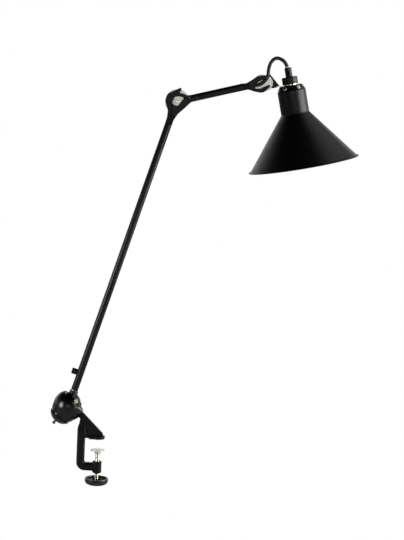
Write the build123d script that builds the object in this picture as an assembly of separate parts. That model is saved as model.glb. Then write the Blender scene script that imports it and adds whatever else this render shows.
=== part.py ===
from build123d import *
from math import atan2, cos, degrees, hypot, pi, radians, sin, sqrt, tan
import os

# Clamp-on architect lamp, in millimetres. X runs out over the table, Y away from the front, Z up.
# The origin is on the clamp screw's axis, at the face of the upper jaw pad that rests on the table.

# Clearances
run_gap = 0.05
slip_gap = 0.3

# Clamp frame: a rounded bar bent into a C, with a web that rises to the ball socket
bar_thickness = 11.4
bar_depth = 13.0
bar_round = 4.2
bar_corner_radius = 12.0
bar_inner_radius = 2.5
post_outer_x = -29.8
post_top_z = 20.0
ramp_foot_z = 9.5
lower_arm_top_z = -35.4
jaw_half_width = 9.7
jaw_pad_thickness = 1.2
jaw_thickness = 2.9
jaw_root_radius = 8.5
web_thickness = 6.0
web_edge_offset = 8.7
screw_boss_radius = 6.5
screw_boss_height = 17.2
screw_boss_drop = 3.4

# Ball and socket
socket_x = -43.8
socket_z = 45.9
socket_radius = 21.9
socket_wall = 4.0
mouth_tilt = 45.0
mouth_offset = 10.6
cap_tilt = 38.5
cap_plane_offset = 16.5
cap_skirt_radius = 17.0
cap_skirt_top = -10.0
cap_groove = 3.0
cap_crown_radius = 19.2
cap_crown_height = 9.4
cap_spigot_radius = 14.4
cap_spigot_height = 8.0
cover_screw_radius = 1.0
cover_screw_ring = 19.4
cover_screw_angles = (125, 165, 288, 320)
cover_screw_tip_y = -6.6
cover_screw_head_y = 7.0
screw_head_radius = 2.0
ball_x = -41.84
ball_z = 50.79
ball_radius = 15.0
rear_lip_wall = 2.6
rear_lip_top = 14.5
rear_lip_front_y = 6.6
friction_pad_radius = 5.0
friction_pad_foot = -14.6
tension_screw_radius = 2.0
stem_radius = 6.0
stem_top = 18.3
spigot_foot = 3.5
swivel_screw_station = 9.5
swivel_groove_half = 1.6
swivel_groove_radius = 3.4

# Clamp screw, pressure pad and knob
clamp_screw_radius = 3.0
clamp_screw_pitch = 1.0
clamp_thread_depth = 0.45
pressure_pad_radius = 10.0
pressure_pad_top_z = -16.0
pressure_pad_rim = 1.5
pressure_pad_height = 5.0
pressure_pad_hub_radius = 4.6
pad_neck_radius = 2.0
pad_head_radius = 2.9
knob_radius = 16.75
knob_top_z = -57.5
knob_height = 9.6
knob_wall = 2.6
knob_floor = 3.0

# Long arm
long_lean = 17.0
long_length = 454.25
tube_radius = 5.0
tube_wall = 1.0
lead_radius = 2.5
inlet_station = 44.9
inlet_radius = 4.25
inlet_reach = 12.0
inlet_bore = 2.65

# Short arm
short_rise = 15.1
short_length = 120.4
ring_station = 26.6
ring_width = 1.6
ring_proud = 0.15

# Tilt joints, shared by the elbow and the head
joint_plate_front_y = -10.0
joint_plate_thickness = 3.2
joint_cheek_front_y = 3.4
joint_cheek_thickness = 2.4
disc_front_y = 0.5
disc_thickness = 2.0
bolt_radius = 2.0
bolt_head_radius = 2.6
bolt_head_height = 1.45
friction_washer_radius = 6.0
spring_washer_radius = 3.9
spring_washer_thickness = 1.1
nut_across_flats = 7.0
nut_thickness = 3.2
lead_y = -4.1
lead_rise = 6.5
tongue_thickness = 1.9
rivet_radius = 0.9
rivet_head_radius = 1.6
elbow_offset = 1.2
elbow_disc_radius = 17.1
elbow_disc_chord = 13.6
elbow_chord_angle = -60.0
elbow_hook_radius = 14.2
elbow_hook_shift = 2.3
elbow_hook_wall = 2.0
elbow_floor_z = -17.7
elbow_cheek_radius = 9.5
head_disc_radius = 11.5
head_lobe_radius = 11.3
head_lobe_x = 4.4
head_lobe_z = -1.1
head_cheek_radius = 9.5
head_leaf_front_y = -2.0
head_leaf_back_y = 3.6
head_shank_foot = -27.6

# Lamp head, measured up its own axis from the plane of the rim
head_lean = -12.4
head_reach = 39.3
head_drop = 122.7
rim_radius = 78.0
rim_lip = 3.6
shade_height = 73.0
shade_thickness = 1.0
cover_radius = 19.9
cover_wall = 1.2
cover_shoulder = 105.0
cover_top = 112.6
cover_top_radius = 15.8
cover_screw_azimuth = 31.0
cover_screw_head_radius = 2.75
bracket_thickness = 1.6
bracket_ring_radius = 9.6
collar_radius = 11.0
collar_top = 124.2
grip_radius = 4.9
grip_top = 137.3
nipple_radius = 4.95
holder_radius = 14.0
holder_bottom = 58.0
holder_top = 98.0
grip_bush_radius = 3.5
grip_bush_proud = 1.9
shell_radius = 7.6
shell_top = 82.0
bulb_radius = 22.5
globe_z = 32.0
bulb_base_radius = 6.85
bulb_base_bottom = 60.0

# Derived places
half_web = web_thickness / 2
half_bar = bar_depth / 2
post_inner_x = post_outer_x + bar_thickness
arm_bottom_z = lower_arm_top_z - bar_thickness
boss_bottom_z = arm_bottom_z - screw_boss_drop
jaw_top_z = jaw_pad_thickness + jaw_thickness
seat_radius = ball_radius + slip_gap
socket_bore = socket_radius - socket_wall
cap_base = -(cap_plane_offset + cap_groove)
cap_apex = cap_base - cap_crown_height
cap_crown_centre = cap_apex + cap_crown_radius
tube_bore = tube_radius - tube_wall
plate_back_y = joint_plate_front_y + joint_plate_thickness
cheek_back_y = joint_cheek_front_y + joint_cheek_thickness
disc_back_y = disc_front_y + disc_thickness
nut_front_y = cheek_back_y + spring_washer_thickness
bolt_end_y = nut_front_y + nut_thickness + 1.0
ring_end = ring_station + ring_width
tube_end = short_length + head_shank_foot - ring_width
bracket_z = cover_top - head_drop
shank_foot = -34.0

CLAMP = Location((0, 0, 0))
SOCKET = Location((socket_x, 0, socket_z), (0, cap_tilt, 0))
MOUTH = Location((socket_x, 0, socket_z), (0, mouth_tilt, 0))
BALL = Location((ball_x, 0, ball_z))
LONG = Location((ball_x, 0, ball_z), (0, long_lean, 0))
ELBOW = LONG * Pos(elbow_offset, 0, long_length)
SHORT = Location(ELBOW.position, (0, -short_rise, 0))
WRIST = SHORT * Pos(short_length, 0, 0)
HEAD = Location(WRIST.position, (0, head_lean, 0))
LAMP = HEAD * Pos(head_reach, 0, -head_drop)


def save(name, shape, place=CLAMP):
    """Writes one node, moved from the axes it is drawn in to the lamp's."""
    shape = place * shape
    shape.label = name
    export_step(shape, f"parts/{name}.step")


def group(shapes):
    return Compound(children=list(shapes))


def rounded(points, radii):
    """A closed outline in X and Z with a fillet radius at each point."""
    return make_face(FilletPolyline(*points, radius=radii, close=True))


def slab(outline, front, back):
    """An outline in X and Z, solid from y = front to y = back."""
    return extrude(Plane.XZ.offset(-back) * outline, back - front)


def rod(radius, bottom, top):
    """A cylinder on the Z axis."""
    return Pos(0, 0, bottom) * Cylinder(radius, top - bottom, align=(Align.CENTER, Align.CENTER, Align.MIN))


def tube(radius, bore, bottom, top):
    return rod(radius, bottom, top) - rod(bore, bottom, top)


def rod_along_x(radius, start, end):
    return Rot(0, 90, 0) * rod(radius, start, end)


def rod_along_y(radius, front, back):
    return Rot(-90, 0, 0) * rod(radius, front, back)


def y_band(front, back, reach=120):
    """Everything between two values of y."""
    return Pos(0, (front + back) / 2, 0) * Box(2 * reach, back - front, 2 * reach)


def turned(points):
    """A solid of revolution about Z from an outline of (radius, height) points."""
    return revolve(Plane.XZ * make_face(Polyline(*points, close=True)), Axis.Z)


def hex_prism(across_flats, bottom, top):
    outline = RegularPolygon(across_flats / 2, 6, major_radius=False)
    return extrude(Pos(0, 0, bottom) * outline, top - bottom)


def edges_on_y(shape, y, tolerance=1e-4):
    """Edges that lie in the plane of one value of y."""
    return [edge for edge in shape.edges() if all(abs(v.Y - y) < tolerance for v in edge.vertices())
            and abs(edge.center().Y - y) < tolerance]


# Clamp frame

def clamp_bar():
    """The post and lower arm, a bar with rounded corners all along."""
    outline = rounded(
        [(-26.5, post_top_z), (-29.2, 17.0), (post_outer_x, 12.0), (post_outer_x, arm_bottom_z),
         (0, arm_bottom_z), (0, lower_arm_top_z), (post_inner_x, lower_arm_top_z), (post_inner_x, post_top_z)],
        [0, 3, 6, bar_corner_radius, 0, 0, bar_inner_radius, 0])
    bar = slab(outline, -half_bar, half_bar)
    return fillet(edges_on_y(bar, -half_bar) + edges_on_y(bar, half_bar), bar_round)


def jaw():
    """The upper jaw: a thin plate with a round end over the screw, curving up into the post."""
    root_x = post_inner_x - 1.0
    side = rounded(
        [(post_outer_x + bar_round, post_top_z - bar_round), (root_x, post_top_z - 0.5), (root_x, jaw_top_z),
         (jaw_half_width, jaw_top_z), (jaw_half_width, jaw_pad_thickness),
         (post_outer_x + bar_round, jaw_pad_thickness)],
        [0, 0, jaw_root_radius, 0, 0, 0])
    plan = make_face(Polyline(
        (0, -jaw_half_width), (0, jaw_half_width), (post_inner_x, half_bar - 0.2),
        (post_outer_x, half_bar - 0.2), (post_outer_x, 0.2 - half_bar), (post_inner_x, 0.2 - half_bar),
        close=True)) + Circle(jaw_half_width)
    plate = slab(side, -jaw_half_width - 1, jaw_half_width + 1) & extrude(plan, post_top_z)
    return plate


def beside_ramp():
    """What is cut away on both sides of the post's top, so that it narrows to the web without a step."""
    side = make_face(Polyline(
        (half_bar, ramp_foot_z), (half_web - 0.1, post_top_z), (half_web - 0.1, post_top_z + 5),
        (20, post_top_z + 5), (20, ramp_foot_z), close=True))
    cut = extrude(Plane.YZ * side, 60, both=True)
    return cut + mirror(cut, Plane.XZ)


def web():
    """The rib between the jaw and the socket. Its long edge lies beside the plane of the socket's mouth."""
    edge_sum = socket_x + socket_z + web_edge_offset * sqrt(2)
    tip_x = 6.8
    outline = rounded(
        [(tip_x, jaw_pad_thickness + 0.2), (tip_x, edge_sum - tip_x),
         (socket_x + 8.0, edge_sum - socket_x - 8.0), (socket_x, socket_z),
         (socket_x + 3.0, socket_z - 20.0), (-28.5, 30.0), (-26.4, 28.6), (-27.5, 22.0),
         (post_outer_x + 0.9, 17.0), (post_outer_x + 0.9, 2.0), (post_inner_x, jaw_pad_thickness + 0.2)],
        [0.6, 0.8, 0, 0, 0, 0, 1.2, 8.0, 4.0, 0, 0])
    return slab(outline, -half_web, half_web)


def spigot_room():
    """The bore that the end cap's spigot sits in."""
    return SOCKET * rod(cap_spigot_radius + run_gap, -socket_radius - 5, cap_skirt_top + 4)


def ball_room():
    """The seat round the ball, and the wider hollow below it."""
    hollow = MOUTH * (Sphere(socket_bore) & rod(socket_radius, -socket_radius, 0))
    return BALL * Sphere(seat_radius) + hollow


def socket_shell():
    """The whole round housing, cut flat at its mouth, with a skirt that meets the end cap."""
    skirt = turned([(0, cap_skirt_top), (sqrt(socket_radius ** 2 - cap_skirt_top ** 2), cap_skirt_top),
                    (cap_skirt_radius, -cap_plane_offset), (0, -cap_plane_offset)])
    shell = SOCKET * ((Sphere(socket_radius) & rod(30, -cap_plane_offset, 30)) + skirt)
    shell -= MOUTH * rod(40, mouth_offset, 40)
    return shell - ball_room() - spigot_room()


def rear_lip():
    """Lug behind the arm that reaches up over the ball from the mouth."""
    lip = BALL * (Sphere(seat_radius + rear_lip_wall) - Sphere(seat_radius))
    lip &= y_band(rear_lip_front_y, 30)
    lip &= Pos(ball_x + 3.0 + 20, 0, ball_z) * Box(40, 60, 60)
    return lip & MOUTH * rod(40, mouth_offset - 2.6, rear_lip_top)


def cover_screw_places():
    return [(socket_x + cover_screw_ring * cos(radians(a)), socket_z + cover_screw_ring * sin(radians(a)))
            for a in cover_screw_angles]


def clamp_frame():
    rear_shell = socket_shell() & y_band(-half_web, 60)
    beyond_cap = SOCKET * rod(24, -60, -cap_plane_offset)
    hollow = SOCKET * Sphere(socket_bore)
    rib = web() - hollow - ball_room() - beyond_cap - spigot_room()
    boss = rod(screw_boss_radius, boss_bottom_z, boss_bottom_z + screw_boss_height)
    boss = chamfer(boss.edges().group_by(Axis.Z)[0], 1.2)
    frame = (clamp_bar() + jaw() - beside_ramp()) + rib + rear_shell + rear_lip() + boss
    frame -= rod(clamp_screw_radius + run_gap, boss_bottom_z - 1, lower_arm_top_z + 5)
    for x, z in cover_screw_places():
        frame -= Pos(x, 0, z) * rod_along_y(cover_screw_radius, -half_web - 1, 30)
        frame -= Pos(x, 0, z) * rod_along_y(screw_head_radius + run_gap, cover_screw_head_y, 30)
    return frame


def upper_jaw_pad():
    """Thin pad glued under the jaw, the face that rests on the table."""
    start_x = post_inner_x + 5.4
    plan = make_face(Polyline(
        (0, -jaw_half_width + 0.5), (0, jaw_half_width - 0.5), (start_x, jaw_half_width - 2.4),
        (start_x, 2.4 - jaw_half_width), close=True)) + Circle(jaw_half_width - 0.5)
    return extrude(plan, jaw_pad_thickness)


def socket_cover():
    """The front of the housing, lifted off to put the ball in."""
    cover = socket_shell() & y_band(-60, -half_web)
    for x, z in cover_screw_places():
        cover -= Pos(x, 0, z) * rod_along_y(cover_screw_radius, cover_screw_tip_y - 0.4, 0)
    return cover


def socket_cover_screws():
    head_back = cover_screw_head_y + 1.8
    screw = rod_along_y(cover_screw_radius - 0.01, cover_screw_tip_y, cover_screw_head_y + 0.5)
    head = rod_along_y(screw_head_radius, cover_screw_head_y, head_back)
    head -= Pos(0, head_back, 0) * Box(6, 1.4, 0.7)
    return group(Pos(x, 0, z) * (screw + head) for x, z in cover_screw_places())


def socket_end_cap():
    crown = Pos(0, 0, cap_crown_centre) * Sphere(cap_crown_radius) & rod(30, -60, cap_base)
    cap = crown + rod(cap_spigot_radius, cap_base, cap_base + cap_spigot_height)
    cap -= rod(friction_pad_radius + run_gap, friction_pad_foot - run_gap, 0)
    cap -= rod(tension_screw_radius + run_gap, -60, 0)
    return cap


def friction_pad():
    """Presses on the ball, with a hollow that fits it."""
    pad = rod(friction_pad_radius, friction_pad_foot, friction_pad_foot + 8.0)
    return pad - SOCKET.inverse() * BALL * Sphere(ball_radius + 0.12)


def tension_screw():
    tip = friction_pad_foot - run_gap
    shank = rod(tension_screw_radius, cap_apex + 0.4, tip)
    neck = rod(1.5, cap_apex - 2.3, cap_apex + 0.4)
    head = rod(2.15, cap_apex - 5.2, cap_apex - 2.3)
    head = fillet(head.edges().filter_by(GeomType.CIRCLE), 0.5)
    return shank + neck + head - Pos(0, 0, cap_apex - 5.2) * Box(6, 0.8, 1.6)


# Clamp screw

def thread_ridge(radius, pitch, bottom, top):
    """Rings at the thread's pitch, close enough to a thread to look at and simple to turn."""
    points = [(radius - clamp_thread_depth, bottom)]
    count = int((top - bottom) / pitch)
    for index in range(count):
        z = bottom + index * pitch
        points += [(radius, z + 0.35 * pitch), (radius, z + 0.6 * pitch), (radius - clamp_thread_depth, z + pitch)]
    points += [(0, bottom + count * pitch), (0, bottom)]
    return turned(points)


def clamp_screw():
    """Threaded rod with a turned neck and head at the top, which the pressure pad swivels on."""
    foot = pressure_pad_top_z - pressure_pad_height
    head_top = pressure_pad_top_z - pressure_pad_rim - 0.2
    bottom = knob_top_z - knob_height
    core = clamp_screw_radius - clamp_thread_depth
    threaded = thread_ridge(clamp_screw_radius, clamp_screw_pitch, knob_top_z, foot - 1.0)
    plain = rod(clamp_screw_radius, bottom + knob_floor, knob_top_z) + rod(core, bottom + 0.6, bottom + knob_floor)
    neck = rod(pad_neck_radius, foot - 1.5, head_top - 1.0)
    head = rod(pad_head_radius, head_top - 1.4, head_top)
    return threaded + plain + neck + head


def pressure_pad():
    """A shallow dish that swivels on the screw's end and presses on the table's underside."""
    top = pressure_pad_top_z
    rim = top - pressure_pad_rim
    foot = top - pressure_pad_height
    pad = turned([(0, foot), (pressure_pad_hub_radius, foot), (pressure_pad_hub_radius + 0.6, foot + 1.2),
                  (pressure_pad_radius, rim), (pressure_pad_radius, top - 0.4), (pressure_pad_radius - 0.4, top),
                  (0, top)])
    return pad - rod(pad_head_radius + run_gap, foot - 1, rim - 0.15)


def pad_retainer():
    """Washer pressed into the pad's foot, which keeps the screw's head in."""
    foot = pressure_pad_top_z - pressure_pad_height
    head_foot = pressure_pad_top_z - pressure_pad_rim - 0.2 - 1.4
    return tube(pad_head_radius + run_gap, pad_neck_radius + run_gap, foot, head_foot - run_gap)


def clamp_knob():
    bottom = knob_top_z - knob_height
    outer = [(0, bottom), (knob_radius - 4.0, bottom), (knob_radius - 1.2, bottom + 2.6),
             (knob_radius, bottom + 5.2), (knob_radius, knob_top_z - 0.8), (knob_radius - 0.8, knob_top_z)]
    inner = [(knob_radius - knob_wall, knob_top_z), (knob_radius - knob_wall, bottom + knob_floor + 2.0),
             (knob_radius - knob_wall - 2.0, bottom + knob_floor), (0, bottom + knob_floor)]
    knob = turned(outer + inner)
    knob -= rod(clamp_screw_radius - clamp_thread_depth, bottom - 1, knob_top_z)
    return knob


def knob_nut():
    """Locks the knob on the screw from inside the bowl."""
    floor = knob_top_z - knob_height + knob_floor
    return hex_prism(10.0, floor, floor + 2.4) - rod(clamp_screw_radius, floor - 1, floor + 3)


# Ball and long arm, drawn with Z along the arm from the ball's centre

def arm_ball():
    ball = Sphere(ball_radius) + rod(stem_radius, 0, stem_top)
    ball = fillet(ball.edges().group_by(Axis.Z)[-1], 1.0)
    ball -= rod(tube_radius + run_gap, spigot_foot - 0.1, stem_top + 1)
    ball -= Pos(0, 0, swivel_screw_station) * rod_along_y(1.5, 0, ball_radius)
    return ball


def swivel_screw():
    back = 10.2
    tip = rod_along_y(1.2, swivel_groove_radius + 0.3, tube_radius + 0.6)
    body = rod_along_y(1.49, tube_radius + 0.6, back) - Pos(0, back, 0) * Box(4, 1.2, 0.5)
    return Pos(0, 0, swivel_screw_station) * (tip + body)


def tube_spigot():
    """Turned plug in the tube's foot. The swivel screw rides in its groove."""
    groove_foot = swivel_screw_station - swivel_groove_half
    groove_top = swivel_screw_station + swivel_groove_half
    spigot = turned([(0, spigot_foot), (tube_radius, spigot_foot), (tube_radius, groove_foot),
                     (swivel_groove_radius, groove_foot), (swivel_groove_radius, groove_top),
                     (tube_radius, groove_top), (tube_radius, stem_top + 0.6), (tube_bore, stem_top + 0.6),
                     (tube_bore, stem_top + 14.6), (0, stem_top + 14.6)])
    return chamfer(spigot.edges().group_by(Axis.Z)[0], 0.5)


def long_tube():
    foot = stem_top + 0.6
    body = tube(tube_radius, tube_bore, foot, long_length + shank_foot)
    return body - Pos(0, 0, inlet_station) * rod_along_x(3.2, -2 * tube_radius, 0)


def cord_inlet():
    """Boss brazed on the side of the long tube, where the mains cord goes in."""
    boss = rod_along_x(inlet_radius, -inlet_reach, 0)
    boss = fillet(boss.edges().group_by(Axis.X)[0], 0.8)
    boss = Pos(0, 0, inlet_station) * (boss - rod_along_x(3.2, -inlet_reach - 1, 1))
    return boss - rod(tube_radius, inlet_station - 10, inlet_station + 10)


def inlet_bush():
    """Insulating bush in the boss. Its bore is the way in for the cord."""
    sleeve = rod_along_x(3.2, -inlet_reach, -tube_bore) + rod_along_x(3.9, -inlet_reach - 0.9, -inlet_reach)
    return Pos(0, 0, inlet_station) * (sleeve - rod_along_x(inlet_bore, -inlet_reach - 2, 0))


def lower_lead():
    return rod(lead_radius, inlet_station + 5.0, long_length + lead_start[2])


# Leads through the joints: corner points chosen along the way round each bolt

lead_start = (-elbow_offset, 0, -32.0)
lead_end_station = 32.0
elbow_lead_points = [
    lead_start, (-elbow_offset, 0, -24.0), (-7.0, lead_y, -13.0), (-12.0, lead_y, -1.5),
    (-5.6, lead_y, 9.2), (4.6, lead_y, 11.2), (12.6, lead_y, 9.6)]
head_lead_start = -29.0
head_lead_points = [
    (head_lead_start, 0, 0), (-20.0, 0, 0), (-12.0, lead_y, -1.4), (-0.6, lead_y, -1.8), (10.4, lead_y, 5.4),
    (13.6, -3.9, 18.0), (20.6, -1.6, 27.6), (30.0, 0, 29.8)]


def flowing_path(points):
    """Straight runs joined by arcs, each as large as its two runs allow."""
    radii = []
    for before, corner, after in zip(points, points[1:], points[2:]):
        run_in = Vector(*corner) - Vector(*before)
        run_out = Vector(*after) - Vector(*corner)
        half_turn = radians(run_in.get_angle(run_out)) / 2
        radii.append(0.45 * min(run_in.length, run_out.length) / tan(half_turn))
    return FilletPolyline(*points, radius=radii), radii


def swept_lead(points, radius):
    path, radii = flowing_path(points)
    start = Plane(path @ 0, z_dir=path % 0)
    return sweep(start * Circle(radius), path)


def report_lead(name, points):
    """Prints a lead's length and bend radii, and its volume against section times length."""
    path, radii = flowing_path(points)
    share = swept_lead(points, lead_radius).volume / (pi * lead_radius ** 2 * path.length)
    print(name, "length", round(path.length, 1), "radii", [round(r, 1) for r in radii], "volume share", round(share, 3))


def elbow_lead_route():
    """The elbow lead's points on the long arm's axes, ending on the short arm's axis."""
    to_long = ELBOW.inverse() * SHORT
    ends = [to_long * Pos(23.0, 0, 0), to_long * Pos(lead_end_station, 0, 0)]
    return elbow_lead_points + [tuple(end.position) for end in ends]


def head_lead_route():
    """The head lead's points on the short arm's axes, ending in the grip."""
    to_short = WRIST.inverse() * LAMP
    ends = [to_short * Pos(0, 0, grip_top + lead_rise), to_short * Pos(0, 0, grip_top - 6.3)]
    return head_lead_points + [tuple(end.position) for end in ends]


# Tilt joints

def joint_bolt():
    """Bolt along Y: head in front of the disc, threaded end behind the cheek."""
    head_back = disc_front_y - run_gap
    bolt = rod_along_y(bolt_radius, head_back, bolt_end_y)
    head = rod_along_y(bolt_head_radius, head_back - bolt_head_height, head_back)
    head = fillet(head.edges().group_by(Axis.Y)[0], 0.5)
    return bolt + head - Pos(0, head_back - bolt_head_height, 0) * Box(8, 1.2, 0.7)


def ring_along_y(radius, bore, front, back):
    return rod_along_y(radius, front, back) - rod_along_y(bore, front, back)


def friction_washer():
    return ring_along_y(friction_washer_radius, bolt_radius, disc_back_y + run_gap, joint_cheek_front_y)


def spring_washer():
    washer = ring_along_y(spring_washer_radius, bolt_radius, cheek_back_y, nut_front_y)
    return washer - Pos(3, (cheek_back_y + nut_front_y) / 2, 0) * Rot(35, 0, 0) * Box(4, 3, 0.5)


def joint_nut():
    nut = Rot(-90, 0, 0) * hex_prism(nut_across_flats, nut_front_y, nut_front_y + nut_thickness)
    return nut - rod_along_y(bolt_radius, nut_front_y - 1, bolt_end_y + 1)


def friction_disc(radius):
    disc = ring_along_y(radius, bolt_radius + run_gap, disc_front_y, disc_back_y)
    return fillet([e for e in disc.edges().filter_by(GeomType.CIRCLE) if e.radius > radius - 1], 0.4)


def flush_rivet(x, z, front, back):
    """A rivet along Y, flush in front, with a low head behind."""
    return Pos(x, 0, z) * (rod_along_y(rivet_radius, front, back) + rod_along_y(rivet_head_radius, back, back + 0.6))


def cage(outline, profile, cheek, edge_round):
    """A pressed end: its front outline cut to its side profile, and the cheek behind that holds the bolt."""
    body = slab(outline, joint_plate_front_y, cheek_back_y)
    body = fillet(edges_on_y(body, joint_plate_front_y), edge_round) & profile
    body += slab(cheek, joint_cheek_front_y, cheek_back_y)
    return body - rod_along_y(bolt_radius, 0, 30)


# Elbow

def elbow_cage_outline():
    """Front outline of the long arm's cage: a hook round the bolt on the left, a leaf on the right."""
    left = -elbow_offset - tube_radius
    right = tube_radius - elbow_offset
    hook_left = -elbow_hook_shift - elbow_hook_radius
    return rounded(
        [(left, shank_foot), (left, -26.0), (-8.2, -15.8), (hook_left, -3.4), (hook_left, 6.0), (-1.6, 20.6),
         (0.1, 18.0), (-1.2, 12.2), (-5.6, 7.4), (-6.9, -6.4), (2.6, -5.3), (7.5, 9.3), (17.6, 8.2),
         (20.1, 9.0), (11.3, -7.7), (6.6, -15.4), (right, -26.0), (right, shank_foot)],
        [0, 14, 14, 10, 9, 1.0, 1.4, 4, 6, 4.4, 1.0, 1.0, 0, 1.0, 10, 12, 12, 0])


def elbow_lower_yoke():
    """The long arm's end: shank, front plate with hook and leaf, hook wall, and the cheek behind."""
    profile = extrude(Plane.YZ * make_face(Polyline(
        (-tube_radius, shank_foot), (joint_plate_front_y - 1, -16.6), (joint_plate_front_y - 1, 40),
        (plate_back_y, 40), (plate_back_y, elbow_floor_z), (cheek_back_y + 1, elbow_floor_z),
        (tube_radius, shank_foot), close=True)), 40, both=True)
    cheek = Circle(elbow_cheek_radius) + make_face(Polyline(
        (-7.2, -4.0), (7.2, -4.0), (3.4, -19.0), (-5.8, -19.0), close=True))
    yoke = cage(elbow_cage_outline(), profile, cheek, 0.7)
    hook_wall = slab(elbow_cage_outline(), plate_back_y, disc_front_y - 0.4)
    hook_wall &= Pos(-elbow_hook_shift, 0, 0) * ring_along_y(
        elbow_hook_radius, elbow_hook_radius - elbow_hook_wall, -20, 20)
    hook_wall &= Pos(-30, 0, -0.5) * Box(60, 60, 17)
    yoke += hook_wall
    crease = make_face(Polyline(
        (-5.3, -5.2), (-5.0, -11.0), (-3.0, -18.5), (0.9, -28.0), (0.0, -28.6), (-4.1, -18.8),
        (-6.2, -11.0), (-6.7, -5.0), close=True))
    yoke -= slab(crease, joint_plate_front_y - 1, plate_back_y - 0.9)
    on_tube = Pos(-elbow_offset, 0, 0)
    yoke += on_tube * rod(tube_bore - run_gap, shank_foot - 14, shank_foot)
    yoke -= on_tube * rod(lead_radius + slip_gap + 0.1, shank_foot - 20, lead_start[2] + 1.5)
    return yoke - swept_lead(elbow_lead_route()[:6], lead_radius + slip_gap)


def elbow_rivet_places():
    return [(14.0, -4.6), (14.0, 4.6)]


def elbow_upper_yoke():
    """The short arm's side of the elbow: a tongue on the disc, a neck, and the spigot that the tube turns on."""
    tongue = slab(rounded([(11.6, 6.4), (21.0, 4.7), (24.0, 4.4), (24.0, -4.4), (21.0, -4.7), (11.6, -6.4)],
                          [1.5, 0, 0, 0, 0, 1.5]), disc_front_y - tongue_thickness, disc_front_y)
    neck = rod_along_x(tube_radius, 18.0, ring_station)
    neck = fillet(neck.edges().group_by(Axis.X)[0], 2.0)
    groove = ring_end + 7.0
    spigot = rod_along_x(tube_bore - run_gap, ring_station, ring_end + 14.0)
    spigot -= rod_along_x(tube_bore + 1, groove, groove + 3.0) - rod_along_x(3.3, groove, groove + 3.0)
    yoke = tongue + neck + spigot - rod_along_x(lead_radius + slip_gap, 24.0, 60)
    yoke -= rod_along_y(elbow_disc_radius + slip_gap, disc_front_y, 30)
    to_short = SHORT.inverse() * ELBOW
    yoke -= to_short * swept_lead(elbow_lead_route()[3:], lead_radius + slip_gap)
    for x, z in elbow_rivet_places():
        yoke -= Pos(x, 0, z) * rod_along_y(rivet_radius, -20, 20)
    return yoke


def elbow_disc():
    """Round plate with one side cut straight, level with the cage's edge."""
    disc = friction_disc(elbow_disc_radius)
    disc -= Rot(0, -elbow_chord_angle, 0) * Pos(elbow_disc_chord + 20, 0, 0) * Box(40, 60, 60)
    for x, z in elbow_rivet_places():
        disc -= Pos(x, 0, z) * rod_along_y(rivet_radius, -20, 20)
    return disc


def elbow_disc_rivets():
    return group(flush_rivet(x, z, disc_front_y - tongue_thickness, disc_back_y) for x, z in elbow_rivet_places())


def elbow_swivel_ring():
    return rod_along_x(tube_radius + ring_proud, ring_station, ring_end) - rod_along_x(
        tube_bore, ring_station, ring_end)


# Short arm

def short_tube():
    body = rod_along_x(tube_radius, ring_end, tube_end) - rod_along_x(tube_bore, ring_end, tube_end)
    return body - Pos(ring_end + 8.5, 0, 0) * rod_along_y(1.25, 0, 10)


def forearm_screw():
    """Screw in the tube's back whose tip rides in the spigot's groove."""
    screw = rod_along_y(1.24, 3.35, tube_radius) + rod_along_y(2.2, tube_radius, tube_radius + 1.2)
    screw -= Pos(0, tube_radius + 1.2, 0) * Box(6, 1.2, 0.6)
    return Pos(ring_end + 8.5, 0, 0) * screw


def middle_lead():
    return rod_along_x(lead_radius, lead_end_station, short_length + head_lead_start)


def head_ferrule_ring():
    return rod_along_x(tube_radius + ring_proud, tube_end, tube_end + ring_width) - rod_along_x(
        tube_bore, tube_end, tube_end + ring_width)


def head_cage_outline():
    foot = head_shank_foot
    return rounded(
        [(foot, tube_radius), (-20.5, 4.1), (-3.0, 10.8), (8.6, 8.8), (8.6, 5.2), (4.6, 4.4), (-4.5, 2.6),
         (-7.0, 0.4), (-13.0, -0.8), (-9.5, -6.2), (-3.5, -7.2), (3.0, -5.8), (9.9, -4.6), (10.6, -7.2),
         (1.2, -13.0), (-4.2, -13.0), (-11.8, -9.8), (-20.5, -4.7), (foot, -tube_radius)],
        [0, 8, 16, 0.8, 0.8, 2, 3, 3, 1.2, 2.5, 6, 6, 0.7, 0.7, 5, 6, 8, 8, 0])


def head_cage():
    """The short arm's far end: shank, two leaves in front, and the cheek behind that holds the bolt."""
    foot = head_shank_foot
    profile = extrude(make_face(Polyline(
        (foot, -tube_radius), (-15.5, joint_plate_front_y - 1), (40, joint_plate_front_y - 1),
        (40, plate_back_y), (-15.5, plate_back_y), (-15.5, cheek_back_y + 1), (foot, tube_radius),
        close=True)), 40, both=True)
    cheek = Circle(head_cheek_radius) + make_face(Polyline(
        (-4.0, -7.0), (-4.0, 7.0), (-17.0, 4.4), (-17.0, -4.4), close=True))
    body = cage(head_cage_outline(), profile, cheek, 0.8)
    body += rod_along_x(tube_bore - run_gap, foot - ring_width - 12.0, foot)
    body -= rod_along_x(lead_radius + slip_gap + 0.1, foot - ring_width - 20, head_lead_start + 1.5)
    return body - swept_lead(head_lead_route()[:6], lead_radius + slip_gap)


# Lamp head, drawn on the pivot's axes

def head_rivet_places():
    return [(13.0 * cos(radians(a)), 13.0 * sin(radians(a))) for a in (-18, 18)]


def head_disc_outline(margin):
    """Two circles in one: round the bolt, and round the tongue that the leaf is riveted to."""
    return Circle(head_disc_radius + margin) + Pos(head_lobe_x, head_lobe_z) * Circle(head_lobe_radius + margin)


def head_disc():
    disc = slab(head_disc_outline(0), disc_front_y, disc_back_y) - rod_along_y(bolt_radius + run_gap, -20, 20)
    for x, z in head_rivet_places():
        disc -= Pos(x, 0, z) * rod_along_y(rivet_radius, -20, 20)
    return disc


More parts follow.
